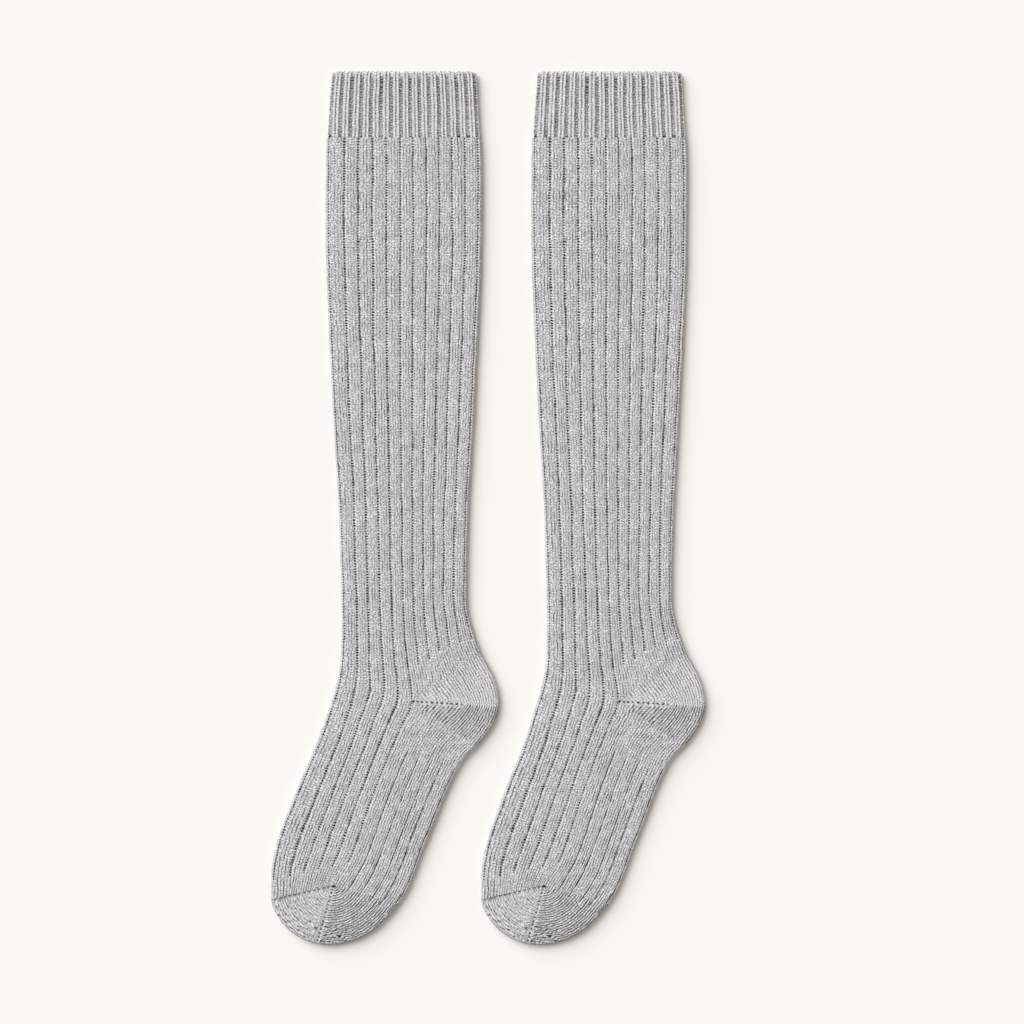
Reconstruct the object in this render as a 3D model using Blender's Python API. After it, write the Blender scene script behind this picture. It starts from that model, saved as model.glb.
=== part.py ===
# A pair of knee-high rib socks, laid flat side by side.
#
# Each sock is a knitted tube pressed flat: an upper and a lower layer of cloth
# that meet in a rounded fold along the shin and toe (the front) and along the
# calf, heel and sole (the back). It is built course by course, from the cuff
# down. A course runs from the front fold over the side of the foot, where the
# heel and toe gores start, to the back fold.
#
# Sizes are in millimetres here and are turned into metres once, in to_metres.
# In a sock's own plan, across is measured from the leg's centre line, positive
# towards the heel, and down is measured from the top of the cuff.

from collections import namedtuple
from math import cos, pi, sin

import bmesh
import bpy
from mathutils import Vector

WALL = 2.3                          # one layer of rib knit
SLIT = 0.6                          # air left between the two layers
SEAM_GAP = 0.3                      # between neighbouring pieces
FOLD_RADIUS = WALL + SLIT / 2       # outside of a fold
FOLD_STEPS = 6                      # flats round a fold
COURSE_STEPS = 2                    # courses from one table row to the next
RIM_STEPS = 2                       # points from one rim row to the next
PAIR_PITCH = 139.8                  # from one leg's centre line to the other's
HEATHER_GREY = (0.46, 0.46, 0.47)

Course = namedtuple("Course", "front_across front_down side_across side_down back_across back_down")
Level = namedtuple("Level", "down front back")
RimPoint = namedtuple("RimPoint", "across down")
Sock = namedtuple("Sock", "name across toe_swing")

# The cuff and the leg down to the ankle, where every course is level.
CUFF = [
    Level(down=0.0, front=-49.4, back=49.0),
    Level(down=20.0, front=-51.0, back=50.2),
    Level(down=45.4, front=-52.6, back=51.8),
]
LEG = [
    Level(down=45.4, front=-53.1, back=52.4),
    Level(down=60.0, front=-53.4, back=53.0),
    Level(down=90.0, front=-53.7, back=53.2),
    Level(down=130.0, front=-53.3, back=52.7),
    Level(down=170.0, front=-51.7, back=51.0),
    Level(down=210.0, front=-49.8, back=48.9),
    Level(down=250.0, front=-47.7, back=46.8),
    Level(down=290.0, front=-45.1, back=44.3),
    Level(down=330.0, front=-43.7, back=43.0),
    Level(down=360.0, front=-42.9, back=42.8),
]

# The ankle turns its courses towards the foot, and their back part towards the
# heel. Its last course is the first of the heel at the back.
ANKLE = [
    Course(-42.8, 383.2, 0.3, 381.8, 44.9, 373.7),
    Course(-43.5, 400.6, 2.2, 403.6, 48.0, 384.0),
    Course(-46.2, 416.5, 5.1, 428.7, 52.4, 395.4),
]
# The foot, from the course under the heel to the one before the toe.
FOOT = [
    Course(-46.2, 416.5, 5.1, 428.7, 49.2, 459.7),
    Course(-52.4, 436.9, -3.7, 449.8, 40.1, 469.2),
    Course(-60.0, 458.0, -13.3, 471.6, 30.6, 487.2),
    Course(-70.7, 482.5, -23.1, 497.4, 19.9, 513.1),
    Course(-79.4, 504.2, -29.9, 517.1, 12.3, 531.4),
    Course(-86.0, 521.9, -36.7, 534.8, 6.3, 547.7),
    Course(-90.1, 539.6, -42.4, 545.0, 1.9, 557.9),
    Course(-90.8, 563.4, -47.9, 553.5, -3.6, 566.6),
]
# The rim of each pouch, round which its cloth folds over.
HEEL_RIM = [
    RimPoint(52.4, 395.4),
    RimPoint(56.6, 403.0),
    RimPoint(60.7, 411.1),
    RimPoint(63.7, 419.9),
    RimPoint(64.7, 428.4),
    RimPoint(63.7, 436.8),
    RimPoint(60.4, 444.8),
    RimPoint(55.4, 452.5),
    RimPoint(49.2, 459.7),
]
TOE_RIM = [
    RimPoint(-90.8, 563.4),
    RimPoint(-88.0, 572.4),
    RimPoint(-82.0, 581.2),
    RimPoint(-74.0, 588.0),
    RimPoint(-64.0, 592.7),
    RimPoint(-53.0, 594.7),
    RimPoint(-42.2, 593.9),
    RimPoint(-32.0, 591.0),
    RimPoint(-22.2, 585.8),
    RimPoint(-12.9, 577.6),
    RimPoint(-3.6, 566.6),
]

# The two socks lie the same way round. The second one's foot is turned a little
# more under its leg, which moves its toe sideways by toe_swing.
SOCKS = [
    Sock(name="sock_1", across=0.0, toe_swing=0.0),
    Sock(name="sock_2", across=PAIR_PITCH, toe_swing=3.2),
]
SWING_START, SWING_END = 400.0, 540.0   # down, where the swing begins and is full


def level_course(level):
    middle = (level.front + level.back) / 2
    return Course(level.front, level.down, middle, level.down, level.back, level.down)


def smooth_rows(rows, steps):
    """Rows with further ones between them, on a Catmull-Rom curve."""
    smooth = []
    for i in range(len(rows) - 1):
        before = rows[max(i - 1, 0)]
        start, end = rows[i], rows[i + 1]
        after = rows[min(i + 2, len(rows) - 1)]
        for k in range(steps):
            t = k / steps
            smooth.append([
                0.5 * (2 * b + (c - a) * t + (2 * a - 5 * b + 4 * c - d) * t ** 2
                       + (3 * b - a - 3 * c + d) * t ** 3)
                for a, b, c, d in zip(before, start, end, after)
            ])
    smooth.append(list(rows[-1]))
    return smooth


def swung(point, toe_swing):
    """A plan point moved sideways as far as the foot's swing takes it."""
    t = min(max((point.y - SWING_START) / (SWING_END - SWING_START), 0.0), 1.0)
    return Vector((point.x + toe_swing * t * t * (3 - 2 * t), point.y))


def across_line(start, end):
    """Unit normal of a line in plan, on the side of the cuff for a line that
    runs from front to back."""
    along = (end - start).normalized()
    return Vector((along.y, -along.x))


def meeting_point(start_1, along_1, start_2, along_2):
    cross = along_1.x * along_2.y - along_1.y * along_2.x
    gap = start_2 - start_1
    return start_1 + along_1 * ((gap.x * along_2.y - gap.y * along_2.x) / cross)


def moved_course(course, distance):
    """A course moved towards the cuff by distance, its bend at the side kept."""
    front, side, back = course
    front_normal, back_normal = across_line(front, side), across_line(side, back)
    front_start = front + front_normal * distance
    back_end = back + back_normal * distance
    if abs(front_normal.dot(back_normal)) > 0.9999:
        return front_start, side + front_normal * distance, back_end
    new_side = meeting_point(front_start, side - front, back_end, back - side)
    return front_start, new_side, back_end


def fold(edge, inner, radius, first_angle, last_angle):
    """Points round a fold whose outside touches edge, in the upright plane
    through edge and inner. An angle of 90 degrees is the top of the cloth."""
    inward = (inner - edge).normalized()
    points = []
    for k in range(FOLD_STEPS + 1):
        angle = first_angle + (last_angle - first_angle) * k / FOLD_STEPS
        place = edge + inward * (FOLD_RADIUS - radius * cos(angle))
        points.append(Vector((place.x, place.y, FOLD_RADIUS + radius * sin(angle))))
    return points


def course_ring(course, radius):
    """A whole course round the tube, from the lower front over the upper layer."""
    front, side, back = course
    upper = Vector((side.x, side.y, FOLD_RADIUS + radius))
    lower = Vector((side.x, side.y, FOLD_RADIUS - radius))
    return (fold(front, side, radius, -pi / 2, pi / 2) + [upper]
            + fold(back, side, radius, pi / 2, -pi / 2) + [lower])


def pouch_arm(apex, rim_point, radius):
    """A course of a pouch, from above the gore's corner over the rim to below it."""
    upper = Vector((apex.x, apex.y, FOLD_RADIUS + radius))
    lower = Vector((apex.x, apex.y, FOLD_RADIUS - radius))
    return [upper] + fold(rim_point, apex, radius, pi / 2, -pi / 2) + [lower]


def to_metres(point):
    return Vector((point.x, -point.y, point.z)) / 1000


def add_strip(mesh, first, second):
    """Faces between two rows of vertices, triangles where they share one."""
    for i in range(len(first) - 1):
        corners = []
        for vertex in (first[i], first[i + 1], second[i + 1], second[i]):
            if vertex not in corners:
                corners.append(vertex)
        if len(corners) > 2:
            mesh.faces.new(corners)


def add_tube(mesh, courses):
    """A tube of cloth with a wall, open at both ends."""
    rows = {}
    for radius in (FOLD_RADIUS, SLIT / 2):
        rows[radius] = []
        for course in courses:
            row = [mesh.verts.new(to_metres(p)) for p in course_ring(course, radius)]
            rows[radius].append(row + row[:1])
        for above, below in zip(rows[radius], rows[radius][1:]):
            add_strip(mesh, above, below)
    for end in (0, -1):
        add_strip(mesh, rows[FOLD_RADIUS][end], rows[SLIT / 2][end])


def add_pouch(mesh, apex, rim):
    """A pouch of cloth with a wall, folded over its rim and open to the tube."""
    rows = {}
    for radius in (FOLD_RADIUS, SLIT / 2):
        ends = pouch_arm(apex, rim[0], radius)
        upper, lower = (mesh.verts.new(to_metres(p)) for p in (ends[0], ends[-1]))
        rows[radius] = []
        for rim_point in rim:
            turn = [mesh.verts.new(to_metres(p)) for p in pouch_arm(apex, rim_point, radius)[1:-1]]
            rows[radius].append([upper] + turn + [lower])
        for above, below in zip(rows[radius], rows[radius][1:]):
            add_strip(mesh, above, below)
    for end in (0, -1):
        add_strip(mesh, rows[FOLD_RADIUS][end], rows[SLIT / 2][end])


def make_piece(name, material, collection, parent, build, *shape):
    mesh = bmesh.new()
    build(mesh, *shape)
    bmesh.ops.recalc_face_normals(mesh, faces=mesh.faces)
    data = bpy.data.meshes.new(name)
    mesh.to_mesh(data)
    mesh.free()
    data.materials.append(material)
    data.shade_smooth()
    data.set_sharp_from_angle(angle=pi / 4)
    piece = bpy.data.objects.new(name, data)
    piece.parent = parent
    collection.objects.link(piece)
    return piece


def plan_courses(rows, toe_swing):
    courses = []
    for row in rows:
        points = [Vector((row[0], row[1])), Vector((row[2], row[3])), Vector((row[4], row[5]))]
        courses.append([swung(point, toe_swing) for point in points])
    return courses


def plan_rim(rows, toe_swing, upper_edge, lower_edge):
    """The apex and rim of a pouch, clear of the courses it is knitted to.
    Both edges are (start, end, normal away from the pouch) lines in plan."""
    rim = [swung(Vector(row), toe_swing) for row in smooth_rows(rows, RIM_STEPS)]
    half_gap = SEAM_GAP / 2
    starts = [start - normal * half_gap for start, end, normal in (upper_edge, lower_edge)]
    ends = [end - normal * half_gap for start, end, normal in (upper_edge, lower_edge)]
    apex = meeting_point(starts[0], ends[0] - starts[0], starts[1], ends[1] - starts[1])
    rim[0], rim[-1] = ends
    return apex, rim


def build_sock(sock, origin, material, collection):
    half_gap = SEAM_GAP / 2
    hub = bpy.data.objects.new(sock.name, None)
    hub.location = to_metres(origin + Vector((sock.across, 0, 0)))
    hub.empty_display_size = 0.05
    collection.objects.link(hub)

    leg_rows = [level_course(level) for level in LEG] + ANKLE
    cuff = plan_courses(smooth_rows([level_course(level) for level in CUFF], COURSE_STEPS), sock.toe_swing)
    leg = plan_courses(smooth_rows(leg_rows, COURSE_STEPS), sock.toe_swing)
    foot = plan_courses(smooth_rows(FOOT, COURSE_STEPS), sock.toe_swing)

    heel_top, heel_bottom, toe_top = leg[-1], foot[0], foot[-1]
    heel = plan_rim(
        HEEL_RIM, sock.toe_swing,
        (heel_top[1], heel_top[2], across_line(heel_top[1], heel_top[2])),
        (heel_bottom[1], heel_bottom[2], -across_line(heel_bottom[1], heel_bottom[2])))
    toe = plan_rim(
        TOE_RIM, sock.toe_swing,
        (toe_top[1], toe_top[0], across_line(toe_top[0], toe_top[1])),
        (toe_top[1], toe_top[2], across_line(toe_top[1], toe_top[2])))

    cuff[-1] = moved_course(cuff[-1], half_gap)
    leg[0] = moved_course(leg[0], -half_gap)
    leg[-1] = moved_course(leg[-1], half_gap)
    foot[0] = moved_course(foot[0], -half_gap)
    foot[-1] = moved_course(foot[-1], half_gap)

    for part, courses in (("cuff", cuff), ("leg", leg), ("foot", foot)):
        make_piece(f"{sock.name}_{part}", material, collection, hub, add_tube, courses)
    for part, (apex, rim) in (("heel", heel), ("toe", toe)):
        make_piece(f"{sock.name}_{part}", material, collection, hub, add_pouch, apex, rim)


def pair_origin():
    """Plan position of the first leg's centre line and cuff top, measured from
    the middle of the pair."""
    toe = [row[0] for row in smooth_rows(FOOT, COURSE_STEPS) + smooth_rows(TOE_RIM, RIM_STEPS)]
    heel = [swung(Vector(row), SOCKS[1].toe_swing).x for row in smooth_rows(HEEL_RIM, RIM_STEPS)]
    lowest = max(row[1] for row in smooth_rows(TOE_RIM, RIM_STEPS))
    return Vector((-(min(toe) + SOCKS[1].across + max(heel)) / 2, -lowest / 2, 0))


def knit_material():
    material = bpy.data.materials.new("heather_rib_knit")
    material.use_nodes = True
    shader = material.node_tree.nodes["Principled BSDF"]
    shader.inputs["Base Color"].default_value = (*HEATHER_GREY, 1)
    shader.inputs["Roughness"].default_value = 0.95
    shader.inputs["Metallic"].default_value = 0.0
    return material


def main():
    for item in list(bpy.data.objects):
        bpy.data.objects.remove(item, do_unlink=True)
    collection = bpy.data.collections.new("knee_high_socks")
    bpy.context.scene.collection.children.link(collection)
    material = knit_material()
    origin = pair_origin()
    for sock in SOCKS:
        build_sock(sock, origin, material, collection)


main()
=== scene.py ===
import math
from collections import namedtuple
from functools import partial

import bpy
import numpy as np
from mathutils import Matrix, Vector


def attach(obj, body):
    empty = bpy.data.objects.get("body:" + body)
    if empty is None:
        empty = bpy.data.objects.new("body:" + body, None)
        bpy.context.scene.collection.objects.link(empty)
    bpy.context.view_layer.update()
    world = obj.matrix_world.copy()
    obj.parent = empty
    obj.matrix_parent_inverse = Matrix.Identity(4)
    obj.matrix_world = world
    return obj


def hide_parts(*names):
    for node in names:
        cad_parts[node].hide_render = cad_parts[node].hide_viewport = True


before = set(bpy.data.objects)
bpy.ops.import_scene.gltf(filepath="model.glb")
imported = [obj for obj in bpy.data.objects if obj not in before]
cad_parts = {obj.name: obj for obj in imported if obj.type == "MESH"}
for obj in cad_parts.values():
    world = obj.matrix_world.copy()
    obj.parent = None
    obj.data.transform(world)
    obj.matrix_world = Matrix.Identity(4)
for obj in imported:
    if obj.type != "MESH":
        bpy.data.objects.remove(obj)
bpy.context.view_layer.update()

# Sizes are in millimetres until a mesh is made. In a sock's plan, x is across
# from the leg's centre line, positive towards the heel, and down is measured
# from the top of the cuff. Wales are the columns of stitches, counted from the
# front fold over the upper layer to the back fold, and back underneath.
# Courses are the rows of stitches.

halfRound = 60  # wales on one layer, 1.83 mm each where the leg is widest
fullRound = 2 * halfRound
goreWale = 27.5  # the wale that the heel and toe gores start from
wallThickness = 2.3  # one layer of rib knit
slitHeight = 0.6  # between the two layers
foldRadius = wallThickness + slitHeight / 2
wrapExtra = (math.pi / 2 - 1) * foldRadius  # cloth that a fold takes beyond its plan width

level = namedtuple("level", "down front side back")
course = namedtuple("course", "frontX frontDown sideX sideDown backX backDown")

sockPlan = {
    "cuff": [
        level(0.0, -47.2, -3.2, 46.8),
        level(1.2, -48.9, -3.2, 48.5),
        level(3.4, -49.7, -3.2, 49.3),
        level(20.0, -51.0, -3.2, 50.2),
        level(45.4, -52.6, -3.0, 51.8),
    ],
    "leg": [
        level(45.4, -53.1, -2.9, 52.4),
        level(60.0, -53.4, -2.8, 53.0),
        level(90.0, -53.7, -2.6, 53.2),
        level(130.0, -53.3, -2.5, 52.7),
        level(170.0, -51.7, -2.5, 51.0),
        level(210.0, -49.8, -2.5, 48.9),
        level(250.0, -47.7, -2.2, 46.8),
        level(290.0, -45.1, -1.9, 44.3),
        level(330.0, -43.7, -1.4, 43.0),
        level(360.0, -42.9, -0.8, 42.8),
        course(-42.8, 383.2, 0.3, 381.8, 44.9, 373.7),
        course(-43.5, 400.6, 2.2, 403.6, 48.0, 384.0),
        course(-46.2, 416.5, 5.1, 428.7, 52.4, 395.4),
    ],
    "foot": [
        course(-46.2, 416.5, 5.1, 428.7, 49.2, 459.7),
        course(-52.4, 436.9, -3.7, 449.8, 40.1, 469.2),
        course(-60.0, 458.0, -13.3, 471.6, 30.6, 487.2),
        course(-70.7, 482.5, -23.1, 497.4, 19.9, 513.1),
        course(-79.4, 504.2, -29.9, 517.1, 12.3, 531.4),
        course(-86.0, 521.9, -36.7, 534.8, 6.3, 547.7),
        course(-90.1, 539.6, -42.4, 545.0, 1.9, 557.9),
        course(-90.8, 563.4, -47.9, 553.5, -3.6, 566.6),
    ],
    "heelRim": [  # x and down
        (52.4, 395.4), (56.6, 403.0), (60.7, 411.1),
        (63.7, 419.9), (64.7, 428.4), (63.7, 436.8),
        (60.4, 444.8), (55.4, 452.5), (49.2, 459.7),
    ],
    "toeRim": [
        (-3.6, 566.6), (-12.9, 577.6), (-22.2, 585.8),
        (-32.0, 591.0), (-42.2, 593.9), (-53.0, 594.7),
        (-64.0, 592.7), (-74.0, 588.0), (-82.0, 581.2),
        (-88.0, 572.4), (-90.8, 563.4),
    ],
    "course": 1.84,  # height of a stitch
    "drawnWales": {  # drawn stitches to a wale, on the two sides of the gores' wale
        "cuff": (1, 1), "leg": (0.9, 0.9), "foot": (1, 0.87), "heel": (1, 0.88), "toe": (1, 0.8),
    },
}

pairPlan = {
    "pitch": 139.8,  # from one leg's centre line to the other's
    "toeSwing": {"sock_1": 0.0, "sock_2": 3.2},
    "swingFrom": 400.0,
    "swingTo": 540.0,
    "firstLegX": -57.07,  # where the first leg's centre line lies in the frame
    "cuffTopY": 297.35,
}

ribKnit = {
    "legGrooves": np.arange(2.5, fullRound, 5.0),
    "soleGrooves": np.array([34.5, 40.5, 46.5, 51.5, 57.5]),
    "rowsPerCourse": 2,  # mesh rows in a tube
    "innerEvery": 20,  # mesh rows outside to one inside
    "columnsBeside": [0.18, 0.4, 0.75, 1.25],  # mesh columns on each side of a groove, in wales
    "sparse": 1.9,  # wales from a groove where one mesh column to a wale is enough
    "grooveWidth": 0.20,  # wales
    "grooveDepth": 0.05,
    "shoulder": 0.65,  # how far a rib's edges fall away
    "shoulderWidth": 0.6,
    "markReach": 1.25,  # wales from a groove where its mark ends
    "lumps": 0.12,
    "lumpSink": 0.6,  # of a lump's height, which keeps most of them below the form
    "pressed": 0.8,  # of the relief, that stays on the underside, pressed level
    "wander": 0.22,  # wales that a column of stitches strays sideways
    "heldWales": 3,  # beside a fold, where it doesn't stray
    "heldCourses": 8,  # at a piece's ends, the same
    "pulledFrom": [0, 2.5, 8, 18, 27],  # wales of the upper layer that don't lie quite evenly
    "frontPull": [0, -0.7, 0, 0, 0],  # how many wales the front fold draws them over
    "pastGore": 0.6,  # wales from the gores' wale to where the back half counts from
    "endSoftness": 1.5,  # millimetres over which a groove fades out
}


def curveThrough(rows, count, evenBy, before=None, after=None):
    # a Catmull-Rom curve through the rows, read at places evenly spaced along two of its
    # columns; a row of the next piece before or after lets the cloth run on into it
    rows = np.array(rows, float)
    first = rows[:1] if before is None else [before]
    last = rows[-1:] if after is None else [after]
    padded = np.vstack([first, rows, last])
    stepsBetween = 48
    t = np.linspace(0, 1, stepsBetween, endpoint=False)[:, None]
    fine = []
    for i in range(len(rows) - 1):
        a, b, c, d = padded[i:i + 4]
        fine.append(0.5 * (2 * b + (c - a) * t + (2 * a - 5 * b + 4 * c - d) * t ** 2
                           + (3 * b - a - 3 * c + d) * t ** 3))
    fine = np.vstack(fine + [rows[-1:]])
    along = np.concatenate([[0], np.cumsum(np.linalg.norm(np.diff(fine[:, evenBy], axis=0), axis=1))])
    places = np.linspace(0, along[-1], count)
    return np.stack([np.interp(places, along, column) for column in fine.T], axis=1)


def sideLength(rows):
    fine = curveThrough(rows, 200, [2, 3])
    return np.linalg.norm(np.diff(fine[:, 2:4], axis=0), axis=1).sum()


def fullCourses(rows):
    # a level course has its front, side and back at one height
    return [course(row.front, row.down, row.side, row.down, row.back, row.down) if isinstance(row, level)
            else row for row in rows]


def layerWale(wales):
    # the same count on the lower layer as on the upper one: 0 at the front fold, 60 at the back fold
    return np.where(wales > halfRound, fullRound - wales, wales)


def smoothStep(x, start, end):
    t = np.clip((x - start) / (end - start), 0, 1)
    return t * t * (3 - 2 * t)


def gridNoise(a, b, cellA, cellB, seed):
    # smooth noise from -1 to 1 over the grid of a and b, with cells of this size
    rng = np.random.default_rng(seed)
    size, away = 700, 50  # cells in the table, and how far inside it the places are
    a, b = np.broadcast_arrays(np.asarray(a, float) / cellA + away, np.asarray(b, float) / cellB + away)
    table = rng.uniform(-1, 1, (size, size))
    i, j = np.floor(a).astype(int), np.floor(b).astype(int)
    u, v = a - i, b - j
    u, v = u * u * (3 - 2 * u), v * v * (3 - 2 * v)
    i, j = i % size, j % size
    iNext, jNext = (i + 1) % size, (j + 1) % size
    return ((table[i, j] * (1 - u) + table[iNext, j] * u) * (1 - v)
            + (table[i, jNext] * (1 - u) + table[iNext, jNext] * u) * v)


def stitchNoise(wales, courses, seed):
    # one number from -1 to 1 for each stitch
    rng = np.random.default_rng(seed)
    size = 400
    table = rng.uniform(-1, 1, (size, size))
    w, c = np.broadcast_arrays(wales, courses)
    return table[np.floor(w).astype(int) % size, np.floor(c + 0.5).astype(int) % size]


def ribColumns(grooves, start, end):
    # wale numbers of the mesh columns: close together beside a groove, sparse between
    columns = {float(start), float(end)}
    for groove in grooves:
        columns.add(groove)
        for beside in ribKnit["columnsBeside"]:
            columns.update((groove - beside, groove + beside))
    for place in np.arange(math.ceil(start), math.floor(end) + 1.0):
        if len(grooves) == 0 or np.abs(place - grooves).min() > ribKnit["sparse"]:
            columns.add(place)
    return np.array(sorted(c for c in columns if start <= c <= end))


def strayed(wales, courses, seed):
    # the columns of stitches stray a little from their places, but not at the folds or a piece's ends
    u, v = np.broadcast_arrays(wales[None, :], courses[:, None])
    layer = layerWale(u)
    beside, ends = ribKnit["heldWales"], ribKnit["heldCourses"]
    hold = np.clip(layer / beside, 0, 1) * np.clip((halfRound - layer) / beside, 0, 1)
    hold = hold * np.clip((v - courses[0]) / ends, 0, 1) * np.clip((courses[-1] - v) / ends, 0, 1)
    stray = gridNoise(u, v, 6, 14, seed) + 0.5 * gridNoise(u, v, 3, 6, seed + 1)
    return u + ribKnit["wander"] * hold * stray


def foldCloth(edge, inward, length, share, sign, radius):
    # a layer of cloth from a fold (share 0) inwards: plan inset, height and outward normal
    q = share * (length + wrapExtra)
    turn = np.minimum(q / foldRadius, math.pi / 2)
    inset = np.where(q < foldRadius * math.pi / 2, foldRadius - radius * np.cos(turn), q - wrapExtra)
    plan = edge + inward * inset[..., None]
    height = foldRadius + sign * radius * np.sin(turn)
    sideways, upright = -inward * np.cos(turn)[..., None], (sign * np.sin(turn))[..., None]
    normal = np.concatenate([sideways, upright], axis=-1)
    return plan, height, normal


def backShare(layer, bend):
    # where a wale of the back half lies between the side and the back fold: evenly, or bent to the gore
    even = (layer - goreWale) / (halfRound - goreWale)
    gore = heelKnit["goreEndWale"], heelKnit["goreEndShare"]
    bent = np.interp(layer, [goreWale, gore[0], halfRound], [0, gore[1], 1])
    return even + (bent - even) * bend


def tubeForm(rows, wales, radius, bend=0.0):
    # rows of the sock's plan, and the wale number of each point of the grid
    layer = layerWale(wales)
    sign = np.where(wales > halfRound, -1.0, 1.0)
    atFront = layer <= goreWale
    front, side, back = rows[:, None, 0:2], rows[:, None, 2:4], rows[:, None, 4:6]
    edge = np.where(atFront[..., None], front, back)
    reach = side - edge
    length = np.linalg.norm(reach, axis=-1)
    share = np.where(atFront, layer / goreWale, 1 - backShare(layer, bend))
    return foldCloth(edge, reach / length[..., None], length, share, sign, radius)


def pouchForm(apex, rim, chordEnds, share, sign, radius, arcPower):
    # a pouch's courses fan out from the gore's corner to its rim, where the cloth folds under
    reach = apex - rim
    length = np.linalg.norm(reach, axis=-1)
    inward = (reach / length[:, None])[:, None, :]
    plan, height, normal = foldCloth(
        rim[:, None, :], inward, length[:, None] + 0 * share, 1 - share, sign, radius)
    inset = np.linalg.norm(plan - rim[:, None, :], axis=-1)
    fraction = 1 - inset / length[:, None]
    chord = chordEnds - apex
    bulge = rim - chordEnds
    plan = (apex + fraction[..., None] * chord[:, None, :]
            + np.sign(fraction)[..., None] * np.abs(fraction[..., None]) ** arcPower * bulge[:, None, :])
    return plan, height, normal


def pouchForms(apex, rim, chordEnds, wales, share, knit):
    # a pouch's outside, and its inside with fewer rows
    sign = np.where(wales > halfRound, -1.0, 1.0)[None, :]
    few = np.linspace(0, len(rim) - 1, knit["innerRows"]).round().astype(int)
    return (pouchForm(apex, rim, chordEnds, share, sign, foldRadius, knit["arcPower"]),
            pouchForm(apex, rim[few], chordEnds[few], share[few], sign, slitHeight / 2, knit["arcPower"]))


def placed(plan, height, sock):
    # plan and height in millimetres to the frame's metres
    down = plan[..., 1]
    swing = pairPlan["toeSwing"][sock] * smoothStep(down, pairPlan["swingFrom"], pairPlan["swingTo"])
    legX = pairPlan["firstLegX"] + (pairPlan["pitch"] if sock == "sock_2" else 0)
    return np.stack([plan[..., 0] + swing + legX, pairPlan["cuffTopY"] - down, height], axis=-1) / 1000


def stitchCount(plan):
    # how many courses lie between a piece's first row and each point, down its own column of stitches
    steps = np.linalg.norm(np.diff(plan, axis=0), axis=-1)
    return np.vstack([np.zeros((1, plan.shape[1])), np.cumsum(steps, axis=0)]) / sockPlan["course"]


def drawnWales(wales, part):
    # the stitches that show are a little wider than the mesh's wales
    front, back = sockPlan["drawnWales"][part]

    def toFold(w):
        return front * np.minimum(w, goreWale) + back * np.maximum(w - goreWale, 0)
    return np.where(wales > halfRound, 2 * toFold(halfRound) - toFold(fullRound - wales), toFold(wales))


# the strips of the bake map's height that a shell's four patches take
bakeStrips = {"outer": (0.12, 1.0), "inner": (0.03, 0.11), "first": (0.015, 0.02), "last": (0.0, 0.01)}


def corners(grid):
    # the four corners of each face between the grid's rows and columns
    return np.stack([grid[:-1, :-1], grid[1:, :-1], grid[1:, 1:], grid[:-1, 1:]], axis=-1).reshape(-1, 4)


def clothPatch(ids, wales, drawn, courses, strip, flip=False):
    # a patch's faces, and its places in the stitch map and in the bake map
    across = np.broadcast_to(wales, ids.shape)
    height = np.broadcast_to(np.linspace(*bakeStrips[strip], len(ids))[:, None], ids.shape)
    faces = corners(ids)
    stitch = np.stack([corners(np.broadcast_to(drawn, ids.shape)), corners(courses)], axis=-1)
    bake = np.stack([corners(across) / fullRound, corners(height)], axis=-1)
    return (faces[:, ::-1], stitch[:, ::-1], bake[:, ::-1]) if flip else (faces, stitch, bake)


def clothFaces(part, outId, inId, outerCourses, innerCourses, wales):
    # the outer and the inner grid of a shell, and a rim of half a stitch between them at each open end
    drawn = drawnWales(wales, part)
    firstRim = np.stack([inId[0], outId[0]])
    firstCourses = np.stack([outerCourses[0] - 0.5, outerCourses[0]])
    lastRim = np.stack([outId[-1], inId[-1]])
    lastCourses = np.stack([outerCourses[-1], outerCourses[-1] + 0.5])
    patches = [
        clothPatch(outId, wales, drawn, outerCourses, "outer"),
        clothPatch(inId, wales, drawn, innerCourses, "inner", flip=True),
        clothPatch(firstRim, wales, drawn, firstCourses, "first"),
        clothPatch(lastRim, wales, drawn, lastCourses, "last"),
    ]
    faces, stitch, bake = (np.concatenate([patch[k] for patch in patches]) for k in range(3))
    keep = faces != np.roll(faces, 1, axis=1)  # a corner that repeats its neighbour is dropped
    good = keep.sum(axis=1) > 2
    return faces[good], stitch[good], bake[good], keep[good]


def setAll(data, name, values, kind=np.float32):
    data.foreach_set(name, values.astype(kind).ravel())


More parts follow.
